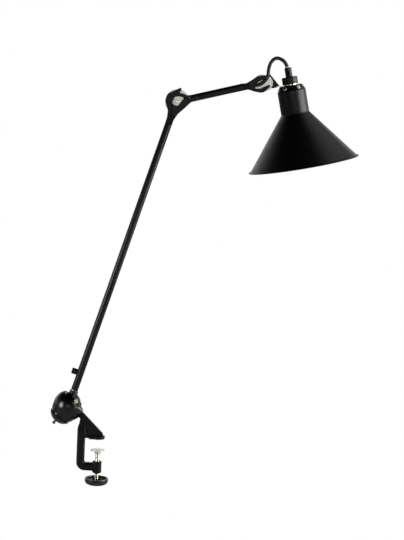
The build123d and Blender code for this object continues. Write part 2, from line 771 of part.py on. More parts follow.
def head_yoke():
    """Leaf that carries the lamp from the disc: flat behind the disc, thick beyond its edge."""
    arm_top = bracket_z + bracket_thickness
    outline = rounded([(10.0, 10.6), (13.6, 9.9), (24.0, arm_top), (24.0, bracket_z), (12.4, -9.9), (9.4, -9.6)],
                      [0, 1.5, 0.5, 0, 1.5, 0])
    leaf = slab(outline, head_leaf_front_y, head_leaf_back_y)
    leaf -= slab(head_disc_outline(slip_gap), -20, disc_back_y)
    leaf -= rod_along_y(head_cheek_radius + 1.2, -20, 20)
    leaf -= Pos(19.5 + 10, 0, bracket_z + bracket_thickness / 2) * Box(20, 40, bracket_thickness)
    for x, z in head_rivet_places():
        leaf -= Pos(x, 0, z) * rod_along_y(rivet_radius, -20, 20)
    return leaf - HEAD.inverse() * WRIST * swept_lead(head_lead_route(), lead_radius + slip_gap)


def head_yoke_rivets():
    return group(flush_rivet(x, z, disc_front_y, head_leaf_back_y) for x, z in head_rivet_places())


def head_bracket():
    """Nickel strip from the leaf's tip to the ring under the collar."""
    ring = Pos(head_reach, 0, bracket_z) * rod(bracket_ring_radius, 0, bracket_thickness)
    arm = Pos(19.5, head_leaf_front_y, bracket_z) * Box(
        head_reach - 19.5, head_leaf_back_y - head_leaf_front_y, bracket_thickness, align=Align.MIN)
    return ring + arm - Pos(head_reach, 0, bracket_z) * rod(nipple_radius + run_gap, -1, 3)


# Lamp, drawn on its own axis from the plane of the rim

def holder_collar():
    collar = rod(collar_radius, cover_top + bracket_thickness, collar_top)
    collar = fillet(collar.edges().filter_by(GeomType.CIRCLE), 1.2)
    collar -= rod(nipple_radius, cover_top, collar_top - 3.2)
    collar -= rod(grip_radius - 1.0, cover_top, collar_top + 1)
    return collar - Pos(0, 0, (cover_top + collar_top) / 2 + 1) * rod_along_y(1.5, 0, 20)


def collar_screw():
    screw = rod_along_y(1.49, nipple_radius, collar_radius - 0.8)
    screw -= Pos(0, collar_radius - 0.8, 0) * Box(6, 1.4, 0.6)
    return Pos(0, 0, (cover_top + collar_top) / 2 + 1) * screw


def cord_grip():
    grip = rod(grip_radius, collar_top, grip_top)
    grip = fillet(grip.edges().group_by(Axis.Z)[-1], 0.6)
    grip += rod(grip_radius - 1.0, collar_top - 3.2, collar_top)
    grip -= rod(lead_radius + 0.15, collar_top - 4, grip_top)
    grip -= rod(grip_bush_radius, grip_top - 4.3, grip_top + 1)
    return grip - Pos(0, 0, collar_top + 3.0 + 10) * Box(0.7, 30, 20)


def grip_ring():
    bush = rod(grip_bush_radius, grip_top - 4.3, grip_top + grip_bush_proud) - rod(lead_radius + 0.1, 100, 150)
    return fillet(bush.edges().group_by(Axis.Z)[-1].sort_by(SortBy.RADIUS)[-1], 0.4)


def holder_nipple():
    return tube(nipple_radius, lead_radius + 0.7, holder_top - 5.0, collar_top - 3.2)


def nipple_nut():
    top = cover_top - cover_wall
    return hex_prism(14.0, top - 3.0, top) - rod(nipple_radius, top - 4, top + 1)


def cover_screw_axes():
    """Places on the middle of the shoulder's slope, with Z out along each screw."""
    slope = degrees(atan2(cover_radius - cover_top_radius, cover_top - cover_shoulder))
    places = []
    for azimuth in (-90 - cover_screw_azimuth, -90 + cover_screw_azimuth,
                    90 - cover_screw_azimuth, 90 + cover_screw_azimuth):
        middle = Pos((cover_radius + cover_top_radius) / 2, 0, (cover_shoulder + cover_top) / 2)
        places.append(Rot(0, 0, azimuth) * middle * Rot(0, 90 - slope, 0))
    return places


def holder_cover():
    outer = [(cover_radius, shade_height + shade_thickness), (cover_radius, cover_shoulder),
             (cover_top_radius, cover_top), (0, cover_top)]
    inner = [(0, cover_top - cover_wall), (cover_top_radius - 0.8, cover_top - cover_wall),
             (cover_radius - cover_wall, cover_shoulder - 0.7),
             (cover_radius - cover_wall, shade_height + shade_thickness)]
    cover = turned(outer + inner) - rod(nipple_radius + run_gap, 80, 120)
    for axis in cover_screw_axes():
        cover -= axis * rod(1.25, -5, 5)
    return cover


def cover_screws():
    screw = rod(1.24, -7.4, 0) + rod(cover_screw_head_radius, 0, 1.6)
    screw = fillet(screw.edges().group_by(Axis.Z)[-1], 0.8)
    screw -= Pos(0, 0, 1.6) * Box(8, 0.8, 1.6)
    return group(axis * screw for axis in cover_screw_axes())


def lampholder():
    body = rod(holder_radius, holder_bottom, holder_top)
    body += rod(cover_radius - cover_wall - run_gap, shade_height + shade_thickness,
                shade_height + shade_thickness + 2.5)
    body += tube(12.6, 8.6, holder_top, holder_top + 6.2)
    body -= rod(shell_radius, holder_bottom - 1, shell_top)
    body -= rod(nipple_radius + run_gap, holder_top - 5.0, holder_top + 1)
    body -= rod(lead_radius + 0.1, shell_top - 1, holder_top + 1)
    for axis in cover_screw_axes():
        body -= axis * rod(1.25, -12, 5)
    return body


def lampholder_shell():
    """Threaded sleeve for the lamp's base, with its turned-in top."""
    return turned([(shell_radius, holder_bottom + 2), (shell_radius, shell_top - 1.5),
                   (4.4, shell_top - 1.5), (4.4, shell_top - 2.1), (bulb_base_radius + 0.15, shell_top - 2.1),
                   (bulb_base_radius + 0.15, holder_bottom + 2)])


def lampholder_contacts():
    return rod(2.2, shell_top - 3.6, shell_top) + rod(1.2, shell_top - 3.6 - 0.6, shell_top - 3.0)


def shade_ring():
    ring = tube(holder_radius + 3.5, holder_radius + run_gap, shade_height - 3.5, shade_height)
    for index in range(18):
        ring -= Rot(0, 0, 20 * index) * Pos(holder_radius + 3.7, 0, shade_height - 1.5) * Cylinder(0.6, 6)
    return ring


def shade_outer_radius(height):
    """Radius of the cone's outside at a height above the rim's lip."""
    foot = rim_radius - rim_lip
    top = cover_radius - 0.1
    return foot + (top - foot) * (height - 2.4) / (shade_height - 2.4)


def shade():
    slope = hypot(shade_outer_radius(2.4) - shade_outer_radius(shade_height), shade_height - 2.4) / (
        shade_height - 2.4)
    wall = shade_thickness * slope
    top = shade_outer_radius(shade_height)
    foot = shade_outer_radius(2.4)
    return turned([
        (rim_radius, 0.2), (rim_radius, 1.4), (rim_radius - 0.4, 1.7), (foot + 0.6, 2.2), (foot - 0.2, 2.8),
        (top, shade_height), (top, shade_height + shade_thickness),
        (holder_radius + slip_gap, shade_height + shade_thickness), (holder_radius + slip_gap, shade_height),
        (top - wall, shade_height), (foot - 0.2 - wall, 2.3), (foot - wall + 0.6, 1.4), (rim_radius - 1.0, 0.8),
        (rim_radius - 1.0, 0.2)])


def bulb_base():
    """Threaded metal base, with its centre contact at the top."""
    points = [(0, bulb_base_bottom), (bulb_base_radius - 0.5, bulb_base_bottom)]
    for index in range(5):
        z = bulb_base_bottom + 2.0 + 2.8 * index
        points += [(bulb_base_radius - 0.5, z), (bulb_base_radius, z + 0.9), (bulb_base_radius, z + 1.5),
                   (bulb_base_radius - 0.5, z + 2.4)]
    top = shell_top - 4.4
    points += [(bulb_base_radius - 1.6, top - 1.2), (2.6, top - 0.2), (2.4, top), (0, top)]
    return turned(points)


def bulb_glass():
    """Hollow globe with a neck that is cemented over the foot of the base."""
    outer = revolve(Plane.XZ * make_face([
        Line((0, globe_z - bulb_radius), (0, bulb_base_bottom)),
        Line((0, bulb_base_bottom), (bulb_base_radius - 0.2, bulb_base_bottom)),
        Line((bulb_base_radius - 0.2, bulb_base_bottom), (bulb_base_radius, bulb_base_bottom - 1.0)),
        Spline((bulb_base_radius, bulb_base_bottom - 1.0), (9.6, bulb_base_bottom - 5.0),
               (bulb_radius * cos(radians(38)), globe_z + bulb_radius * sin(radians(38))),
               tangents=[(0.25, -1), (sin(radians(38)), -cos(radians(38)))]),
        ThreePointArc((bulb_radius * cos(radians(38)), globe_z + bulb_radius * sin(radians(38))),
                      (bulb_radius * cos(radians(-30)), globe_z + bulb_radius * sin(radians(-30))),
                      (0, globe_z - bulb_radius))]), Axis.Z)
    return outer - Pos(0, 0, globe_z) * Sphere(bulb_radius - 0.8) - rod(5.2, globe_z, bulb_base_bottom - 1.5)


def holder_lead():
    return rod(lead_radius, shell_top + 2.0, grip_top - 6.3)


def export_all():
    save("clamp_frame", clamp_frame())
    save("upper_jaw_pad", upper_jaw_pad())
    save("socket_cover", socket_cover())
    save("socket_cover_screws", socket_cover_screws())
    save("socket_end_cap", socket_end_cap(), SOCKET)
    save("friction_pad", friction_pad(), SOCKET)
    save("tension_screw", tension_screw(), SOCKET)
    save("clamp_screw", clamp_screw())
    save("pressure_pad", pressure_pad())
    save("pad_retainer", pad_retainer())
    save("clamp_knob", clamp_knob())
    save("knob_nut", knob_nut())
    save("arm_ball", arm_ball(), LONG)
    save("swivel_screw", swivel_screw(), LONG)
    save("tube_spigot", tube_spigot(), LONG)
    save("long_tube", long_tube(), LONG)
    save("cord_inlet", cord_inlet(), LONG)
    save("inlet_bush", inlet_bush(), LONG)
    save("lower_lead", lower_lead(), LONG)
    save("elbow_lower_yoke", elbow_lower_yoke(), ELBOW)
    save("elbow_bolt", joint_bolt(), ELBOW)
    save("elbow_spring_washer", spring_washer(), ELBOW)
    save("elbow_nut", joint_nut(), ELBOW)
    save("elbow_friction_washer", friction_washer(), ELBOW)
    save("elbow_lead", swept_lead(elbow_lead_route(), lead_radius), ELBOW)
    save("elbow_disc", elbow_disc(), SHORT)
    save("elbow_disc_rivets", elbow_disc_rivets(), SHORT)
    save("elbow_upper_yoke", elbow_upper_yoke(), SHORT)
    save("elbow_swivel_ring", elbow_swivel_ring(), SHORT)
    save("short_tube", short_tube(), SHORT)
    save("forearm_screw", forearm_screw(), SHORT)
    save("middle_lead", middle_lead(), SHORT)
    save("head_ferrule_ring", head_ferrule_ring(), SHORT)
    save("head_cage", head_cage(), WRIST)
    save("head_bolt", joint_bolt(), WRIST)
    save("head_spring_washer", spring_washer(), WRIST)
    save("head_nut", joint_nut(), WRIST)
    save("head_friction_washer", friction_washer(), WRIST)
    save("head_lead", swept_lead(head_lead_route(), lead_radius), WRIST)
    save("head_disc", head_disc(), HEAD)
    save("head_yoke", head_yoke(), HEAD)
    save("head_yoke_rivets", head_yoke_rivets(), HEAD)
    save("head_bracket", head_bracket(), HEAD)
    save("holder_collar", holder_collar(), LAMP)
    save("collar_screw", collar_screw(), LAMP)
    save("cord_grip", cord_grip(), LAMP)
    save("grip_ring", grip_ring(), LAMP)
    save("holder_nipple", holder_nipple(), LAMP)
    save("nipple_nut", nipple_nut(), LAMP)
    save("holder_cover", holder_cover(), LAMP)
    save("cover_screws", cover_screws(), LAMP)
    save("lampholder", lampholder(), LAMP)
    save("lampholder_shell", lampholder_shell(), LAMP)
    save("lampholder_contacts", lampholder_contacts(), LAMP)
    save("shade_ring", shade_ring(), LAMP)
    save("shade", shade(), LAMP)
    save("bulb_base", bulb_base(), LAMP)
    save("bulb_glass", bulb_glass(), LAMP)
    save("holder_lead", holder_lead(), LAMP)
    report_lead("elbow lead", elbow_lead_route())
    report_lead("head lead", head_lead_route())


if __name__ == "__main__":
    os.makedirs("parts", exist_ok=True)
    export_all()
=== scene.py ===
import bmesh
import bpy
from math import acos, cos, pi, radians, sin, sqrt, tan
from mathutils import Matrix, Vector


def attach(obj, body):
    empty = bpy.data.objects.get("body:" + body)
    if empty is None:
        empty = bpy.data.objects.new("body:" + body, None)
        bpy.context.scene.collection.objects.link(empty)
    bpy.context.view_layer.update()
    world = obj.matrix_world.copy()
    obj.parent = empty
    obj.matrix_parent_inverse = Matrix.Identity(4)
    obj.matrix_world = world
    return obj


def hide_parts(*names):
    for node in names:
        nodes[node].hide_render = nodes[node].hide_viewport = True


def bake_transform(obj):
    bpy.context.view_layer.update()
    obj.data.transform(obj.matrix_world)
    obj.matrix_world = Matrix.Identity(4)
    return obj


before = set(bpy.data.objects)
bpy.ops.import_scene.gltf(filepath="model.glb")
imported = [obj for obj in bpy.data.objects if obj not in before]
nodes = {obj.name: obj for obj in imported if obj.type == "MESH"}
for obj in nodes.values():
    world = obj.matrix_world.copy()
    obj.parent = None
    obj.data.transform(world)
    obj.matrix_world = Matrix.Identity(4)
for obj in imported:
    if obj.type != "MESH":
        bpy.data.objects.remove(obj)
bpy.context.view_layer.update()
MM = 0.001

# The lamp's axes, the same places as in the CAD source, in millimetres


def at(x, y, z, lean=0.0):
    """A place in the row frame whose Z axis leans towards X by some degrees."""
    return Matrix.Translation((x, y, z)) @ Matrix.Rotation(radians(lean), 4, "Y")


long_length = 454.25
elbow_offset = 1.2
short_length = 120.4
head_reach = 39.3
head_drop = 122.7
tube_radius, tube_bore = 5.0, 4.0
lead_radius = 2.5
grip_top = 137.3
ORIGIN = at(0, 0, 0)
SOCKET = at(-43.8, 0, 45.9, 38.5)
LONG = at(-41.84, 0, 50.79, 17.0)
ELBOW = LONG @ at(elbow_offset, 0, long_length)
SHORT = at(*ELBOW.translation, -15.1)
WRIST = SHORT @ at(short_length, 0, 0)
HEAD = at(*WRIST.translation, -12.4)
LAMP = HEAD @ at(head_reach, 0, -head_drop)
TURN_X = Matrix.Rotation(radians(90), 4, "Y")


# Materials: every colour is given as sRGB hex and turned linear here

def lin(code, alpha=1.0):
    parts = [int(code[i:i + 2], 16) / 255 for i in (0, 2, 4)]
    return tuple(c / 12.92 if c <= 0.04045 else ((c + 0.055) / 1.055) ** 2.4 for c in parts) + (alpha,)


def node(tree, kind, sockets=None, **settings):
    """Adds a shader node. Socket values may be numbers, tuples or another node's output."""
    made = tree.nodes.new(kind)
    for key, value in settings.items():
        setattr(made, key, value)
    for key, value in (sockets or {}).items():
        if isinstance(value, bpy.types.NodeSocket):
            tree.links.new(value, made.inputs[key])
        else:
            made.inputs[key].default_value = value
    return made


def blank(name):
    material = bpy.data.materials.new(name)
    material.use_nodes = True
    tree = material.node_tree
    tree.nodes.clear()
    shader = node(tree, "ShaderNodeBsdfPrincipled")
    out = node(tree, "ShaderNodeOutputMaterial", {"Surface": shader.outputs[0]})
    out.location = (400, 0)
    return material, tree, shader


def place_of(tree, stretch=(1, 1, 1)):
    coords = node(tree, "ShaderNodeTexCoord")
    mapping = node(tree, "ShaderNodeMapping", {"Vector": coords.outputs["Object"], "Scale": stretch})
    return mapping.outputs[0]


def noise(tree, where, scale, detail=3.0, rough=0.5):
    return node(tree, "ShaderNodeTexNoise", {"Vector": where, "Scale": scale, "Detail": detail,
                                            "Roughness": rough}).outputs["Fac"]


def spread(tree, value, low, high, start=0.3, end=0.7):
    return node(tree, "ShaderNodeMapRange", {"Value": value, "From Min": start, "From Max": end,
                                             "To Min": low, "To Max": high}).outputs[0]


def blend_colour(tree, factor, first, second):
    mix = node(tree, "ShaderNodeMix", data_type="RGBA")
    tree.links.new(factor, mix.inputs[0])
    for socket, colour in ((mix.inputs[6], first), (mix.inputs[7], second)):
        if isinstance(colour, bpy.types.NodeSocket):
            tree.links.new(colour, socket)
        else:
            socket.default_value = colour
    return mix.outputs[2]


def bump(tree, heights):
    """Stacks bumps: each entry is (height, distance in metres, strength)."""
    normal = None
    for height, distance, strength in heights:
        made = node(tree, "ShaderNodeBump", {"Height": height, "Distance": distance, "Strength": strength})
        if normal is not None:
            tree.links.new(normal, made.inputs["Normal"])
        normal = made.outputs[0]
    return normal


def enamel(name, dark, light, rough, peel=0.3, grit=0.0, dust="9a968e", dust_amount=0.03, specular=0.5):
    """Sprayed paint: two close shades in soft patches, orange peel, and specks of dust."""
    material, tree, shader = blank(name)
    where = place_of(tree)
    patches = spread(tree, noise(tree, where, 35, 4), 0, 1)
    colour = blend_colour(tree, patches, lin(dark), lin(light))
    specks = spread(tree, noise(tree, where, 1400, 2), 0, 1, 0.66, 0.74)
    mask = node(tree, "ShaderNodeMath", {0: specks, 1: dust_amount}, operation="MULTIPLY").outputs[0]
    tree.links.new(blend_colour(tree, mask, colour, lin(dust)), shader.inputs["Base Color"])
    sheen = spread(tree, noise(tree, where, 120, 5, 0.6), rough[0], rough[1])
    tree.links.new(sheen, shader.inputs["Roughness"])
    heights = [(noise(tree, where, 900, 2), 0.00008, peel)]
    if grit:
        heights.append((noise(tree, where, 2600, 3, 0.7), 0.00012, grit))
        heights.append((noise(tree, where, 260, 2), 0.00025, grit))
    tree.links.new(bump(tree, heights), shader.inputs["Normal"])
    shader.inputs["Specular IOR Level"].default_value = specular
    return material


def plate(name, light, dark, rough, stretch=(1, 1, 1), scratch=0.25, scale=1500, metallic=1.0):
    """Plated or bare metal: fine polishing lines along one direction and faint tarnish."""
    material, tree, shader = blank(name)
    where = place_of(tree)
    lines = noise(tree, place_of(tree, stretch), scale, 4, 0.6)
    tarnish = spread(tree, noise(tree, where, 90, 5, 0.6), 0, 1, 0.35, 0.8)
    tree.links.new(blend_colour(tree, tarnish, lin(light), lin(dark)), shader.inputs["Base Color"])
    tree.links.new(spread(tree, lines, rough[0], rough[1]), shader.inputs["Roughness"])
    tree.links.new(bump(tree, [(lines, 0.00003, scratch)]), shader.inputs["Normal"])
    shader.inputs["Metallic"].default_value = metallic
    return material


def moulded(name, dark, light, rough, scale, depth, coat=0.0):
    """Moulded or fired surface: cloudy tone and fine texture."""
    material, tree, shader = blank(name)
    where = place_of(tree)
    cloud = spread(tree, noise(tree, where, 60, 5, 0.6), 0, 1)
    tree.links.new(blend_colour(tree, cloud, lin(dark), lin(light)), shader.inputs["Base Color"])
    tree.links.new(spread(tree, noise(tree, where, 300, 3), rough[0], rough[1]), shader.inputs["Roughness"])
    tree.links.new(bump(tree, [(noise(tree, where, scale, 3), 0.00008, depth)]), shader.inputs["Normal"])
    shader.inputs["Coat Weight"].default_value = coat
    return material


def opal():
    """Opal glass: white all through, with a clear gloss skin."""
    material, tree, shader = blank("opal_glass")
    where = place_of(tree)
    cloud = spread(tree, noise(tree, where, 40, 3), 0, 1)
    tree.links.new(blend_colour(tree, cloud, lin("f4f1e8"), lin("fbf9f3")), shader.inputs["Base Color"])
    tree.links.new(spread(tree, noise(tree, where, 200, 3), 0.06, 0.14), shader.inputs["Roughness"])
    shader.inputs["Subsurface Weight"].default_value = 0.3
    shader.inputs["Subsurface Radius"].default_value = (0.004, 0.004, 0.0035)
    shader.inputs["Coat Weight"].default_value = 0.6
    shader.inputs["Coat Roughness"].default_value = 0.03
    return material


# Satin black stoved enamel on the drawn tubes
TUBE_BLACK = enamel("satin_black_tube", "0b0b0c", "0f0f10", (0.30, 0.36), peel=0.06,
                    dust_amount=0.003, specular=0.3)
# Satin black over a sand casting, so a grainier skin
CAST_BLACK = enamel("satin_black_casting", "060607", "09090a", (0.36, 0.44), peel=0.14, grit=0.08,
                    dust_amount=0.002, specular=0.2)
# Satin black on the pressed joint plates
PRESSED_BLACK = enamel("satin_black_pressing", "080809", "0c0c0d", (0.34, 0.42), peel=0.12, grit=0.03,
                       dust_amount=0.003, specular=0.3)
# Deep gloss black on the ball's housing
DOME_BLACK = enamel("gloss_black_dome", "020202", "030304", (0.20, 0.27), peel=0.12,
                    dust_amount=0.002, specular=0.45)
# Matt-satin black outside the shade and the lampholder's cover
SHADE_BLACK = enamel("satin_black_shade", "040404", "060606", (0.32, 0.40), peel=0.14, dust_amount=0.004,
                     specular=0.3)
COVER_BLACK = enamel("satin_black_cover", "070708", "0a0a0b", (0.30, 0.38), peel=0.14, dust_amount=0.005,
                     specular=0.3)
# White enamel inside the shade
SHADE_WHITE = enamel("white_enamel", "ebe9e3", "f4f2ed", (0.30, 0.42), peel=0.25, dust="cfcac0",
                     dust_amount=0.2)
# Nickel: bright on the screws and bracket, satin on the discs and pressure pad, and a darkened copy on the
# ball whose dark colour is painted shade that dims its reflection
NICKEL = plate("bright_nickel", "e9e5db", "cdc8bc", (0.14, 0.26), (1, 1, 6), 0.2)
NICKEL_DISC = plate("satin_nickel_disc", "f6f4ef", "ebe8e1", (0.24, 0.34), (6, 1, 1), 0.2, metallic=0.7)
# The ball's darker nickel colour is painted shade: it dims the ball's reflections and highlight
NICKEL_BALL = plate("nickel_ball_painted_shade", "4a4844", "393734", (0.12, 0.22), (1, 5, 1), 0.15)
# Blackened steel on the rings beside the tubes and on the tension screw
RING_GREY = plate("blackened_steel", "55534f", "3b3a37", (0.30, 0.42), (1, 5, 1), 0.2)
STEEL = plate("zinc_plated_steel", "b9bbbd", "94979b", (0.24, 0.38), (1, 5, 1), 0.3)
BRASS = plate("drawn_brass", "c9a35c", "9c7a3f", (0.22, 0.36), (1, 1, 5), 0.3)
ALUMINIUM = plate("rolled_aluminium", "cfd0d2", "b1b3b6", (0.22, 0.34), (1, 1, 8), 0.3)
# Rubber sheath of the lead
SHEATH = moulded("black_rubber_sheath", "101011", "17171a", (0.42, 0.56), 1800, 0.25)
PAD_RUBBER = moulded("black_pad_rubber", "141414", "1c1c1c", (0.62, 0.78), 1500, 0.5)
KNOB_BLACK = moulded("moulded_black_knob", "060607", "0a0a0b", (0.22, 0.34), 1200, 0.05, coat=0.2)
BUSH_WHITE = moulded("white_bush", "dedbd3", "eceae4", (0.35, 0.48), 900, 0.15)
BUSH_BLACK = moulded("black_bush", "0e0e0f", "151516", (0.38, 0.5), 900, 0.2)
PORCELAIN = moulded("glazed_porcelain", "ebe8df", "f5f3ec", (0.12, 0.22), 700, 0.08, coat=0.5)
FRICTION = moulded("fibre_washer", "8d8170", "a39683", (0.6, 0.75), 2200, 0.5)
OPAL = opal()


# Mesh helpers, in millimetres on local axes

def soft(points, radii, steps=5):
    """Rounds the corners of a 2-D line: one radius per point, 0 for a sharp one."""
    out = []
    count = len(points)
    for index, (point, radius) in enumerate(zip(points, radii)):
        here = Vector(point)
        if radius <= 0:
            out.append(tuple(here))
            continue
        back = Vector(points[index - 1]) - here
        ahead = Vector(points[(index + 1) % count]) - here
        angle = acos(max(-1, min(1, back.normalized().dot(ahead.normalized()))))
        reach = min(radius / tan(angle / 2), 0.49 * back.length, 0.49 * ahead.length)
        real = reach * tan(angle / 2)
        centre = here + (back.normalized() + ahead.normalized()).normalized() * (real / sin(angle / 2))
        start = here + back.normalized() * reach - centre
        end = here + ahead.normalized() * reach - centre
        turn = start.angle_signed(end, 0.0)
        for step in range(steps + 1):
            share = -turn * step / steps
            out.append(tuple(centre + Matrix.Rotation(share, 2) @ start))
    return out


def lathe(profile, steps=160, first=0.0, last=2 * pi):
    """Turns (radius, height) points about Z. An arc that isn't whole gets flat ends."""
    whole = abs(last - first - 2 * pi) < 1e-9
    columns = steps if whole else steps + 1
    verts, rings = [], []
    for radius, height in profile:
        if radius < 1e-6:
            rings.append([len(verts)] * columns)
            verts.append((0, 0, height))
        else:
            rings.append(list(range(len(verts), len(verts) + columns)))
            for k in range(columns):
                a = first + (last - first) * k / steps
                verts.append((radius * cos(a), radius * sin(a), height))
    faces, owners = [], []
    for i in range(len(profile)):
        low, high = rings[i], rings[(i + 1) % len(profile)]
        for k in range(steps):
            j = (k + 1) % columns
            quad = [low[k], low[j], high[j], high[k]]
            quad = [v for n, v in enumerate(quad) if v not in quad[:n]]
            if len(quad) > 2:
                faces.append(quad)
                owners.append(i)
    if not whole:
        faces.append([ring[0] for ring in rings])
        faces.append([ring[-1] for ring in reversed(rings)])
        owners += [0, 0]
    return verts, faces, owners


def piece(name, shape, place, body, material, replaces=(), second=None, second_spans=(), angle=32):
    """Makes a mesh object in the row frame that rides on a body and stands for CAD nodes."""
    verts, faces, owners = shape
    mesh = bpy.data.meshes.new(name)
    mesh.from_pydata([tuple((place @ Vector(v)) * MM) for v in verts], [], faces)
    mesh.materials.append(material)
    if second:
        mesh.materials.append(second)
        for polygon, owner in zip(mesh.polygons, owners):
            polygon.material_index = 1 if owner in second_spans else 0
    work = bmesh.new()
    work.from_mesh(mesh)
    bmesh.ops.remove_doubles(work, verts=work.verts, dist=1e-7)
    bmesh.ops.recalc_face_normals(work, faces=work.faces)
    work.to_mesh(mesh)
    work.free()
    settle(name, mesh, body, replaces, angle)


def settle(name, mesh, body, replaces, angle):
    """Shades the mesh, and sets it on its body in place of the CAD nodes."""
    mesh.polygons.foreach_set("use_smooth", [True] * len(mesh.polygons))
    mesh.set_sharp_from_angle(angle=radians(angle))
    made = bpy.data.objects.new(name, mesh)
    bpy.context.scene.collection.objects.link(made)
    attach(made, body)
    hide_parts(*replaces)


def merged(*shapes):
    """Several (verts, faces, owners) shapes as one."""
    verts, faces, owners = [], [], []
    for v, f, o in shapes:
        base = len(verts)
        verts += v
        faces += [[i + base for i in face] for face in f]
        owners += o
    return verts, faces, owners


def moved(shape, matrix):
    verts, faces, owners = shape
    return [tuple(matrix @ Vector(v)) for v in verts], faces, owners


def baked(source, name, setup):
    """A copy of a mesh object with modifiers that setup adds, worked out to a plain mesh."""
    copy = bpy.data.objects.new(name + "_work", source.data.copy())
    bpy.context.scene.collection.objects.link(copy)
    setup(copy)
    graph = bpy.context.evaluated_depsgraph_get()
    mesh = bpy.data.meshes.new_from_object(copy.evaluated_get(graph))
    bpy.data.objects.remove(copy)
    return mesh


def softened(name, node_name, body, material, voxel, rounds):
    """A casting or pressing: the CAD solid with its edges and inner corners run together."""
    def setup(copy):
        remesh = copy.modifiers.new("skin", "REMESH")
        remesh.mode = "VOXEL"
        remesh.voxel_size = voxel * MM
        smooth = copy.modifiers.new("soft", "SMOOTH")
        smooth.factor = 0.5
        smooth.iterations = rounds
    mesh = baked(nodes[node_name], name, setup)
    mesh.materials.clear()
    mesh.materials.append(material)
    settle(name, mesh, body, (node_name,), angle=70)


def threaded(radius, depth, pitch, bottom, top, columns=40, per_turn=10):
    """A rod with a real helical thread between two heights."""
    rows = int((top - bottom) / pitch * per_turn)
    verts, faces = [], []
    for row in range(rows + 1):
        z = bottom + (top - bottom) * row / rows
        fade = min(1, (z - bottom) / pitch, (top - z) / pitch)
        for k in range(columns):
            wave = (z / pitch - k / columns) % 1
            height = max(0, 1 - abs(wave - 0.5) * 2.6) * fade
            r = radius - depth + depth * min(1, height * 1.25)
            a = 2 * pi * k / columns
            verts.append((r * cos(a), r * sin(a), z))
    for row in range(rows):
        for k in range(columns):
            j = (k + 1) % columns
            low, high = row * columns, (row + 1) * columns
            faces.append([low + k, low + j, high + j, high + k])
    faces.append(list(range(columns))[::-1])
    faces.append([rows * columns + k for k in range(columns)])
    return verts, faces, [0] * len(faces)


def route(name, points, place, radius):
    """A lead's route as one smooth spline: the centre line with radius 0, else a round lead."""
    curve = bpy.data.curves.new(name, "CURVE")
    curve.dimensions = "3D"
    curve.bevel_depth = radius * MM
    curve.bevel_resolution = 8
    curve.resolution_u = 16
    curve.use_fill_caps = radius > 0
    spline = curve.splines.new("NURBS")
    spline.points.add(len(points) - 1)
    for target, point in zip(spline.points, points):
        target.co = (*((place @ Vector(point)) * MM), 1)
    spline.order_u = 3
    spline.use_endpoint_u = True
    made = bpy.data.objects.new(name, curve)
    bpy.context.scene.collection.objects.link(made)
    graph = bpy.context.evaluated_depsgraph_get()
    mesh = bpy.data.meshes.new_from_object(made.evaluated_get(graph))
    bpy.data.objects.remove(made)
    return mesh


def lead(name, points, place, node_name):
    """A lead's round mesh in the row frame, set on no body. Gives its centre line's points too."""
    line = [tuple(v.co) for v in route(name + "_line", points, place, 0).vertices]
    mesh = route(name, points, place, lead_radius)
    mesh.materials.clear()
    mesh.materials.append(SHEATH)
    mesh.polygons.foreach_set("use_smooth", [True] * len(mesh.polygons))
    mesh.set_sharp_from_angle(angle=radians(50))
    made = bpy.data.objects.new(name, mesh)
    bpy.context.scene.collection.objects.link(made)
    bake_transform(made)
    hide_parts(node_name)
    return made, line


# Leads

def on_axes(frame_from, frame_to, point):
    return tuple(frame_from.inverted() @ (frame_to @ Vector(point)))


def elbow_and_head_leads():
    lead_y = -4.1
    points = [
        (-elbow_offset, 0, -32.0), (-elbow_offset, 0, -24.0), (-7.0, lead_y, -13.0), (-12.0, lead_y, -1.5),
        (-5.6, lead_y, 9.2), (4.6, lead_y, 11.2), (12.6, lead_y, 9.6),
        on_axes(ELBOW, SHORT, (23.0, 0, 0)), on_axes(ELBOW, SHORT, (32.0, 0, 0))]
    lead("lead_round_elbow", points, ELBOW,
         "elbow_lead")
    points = [
        (-29.0, 0, 0), (-20.0, 0, 0), (-12.0, lead_y, -1.4), (-0.6, lead_y, -1.8), (10.4, lead_y, 5.4),
        (13.6, -3.9, 18.0), (20.6, -1.6, 27.6), (30.0, 0, 29.8),
        on_axes(WRIST, LAMP, (0, 0, grip_top + 6.5)), on_axes(WRIST, LAMP, (0, 0, grip_top - 6.3))]
    made, line = lead("lead_to_lampholder", points, WRIST,
                      "head_lead")


# Clamp

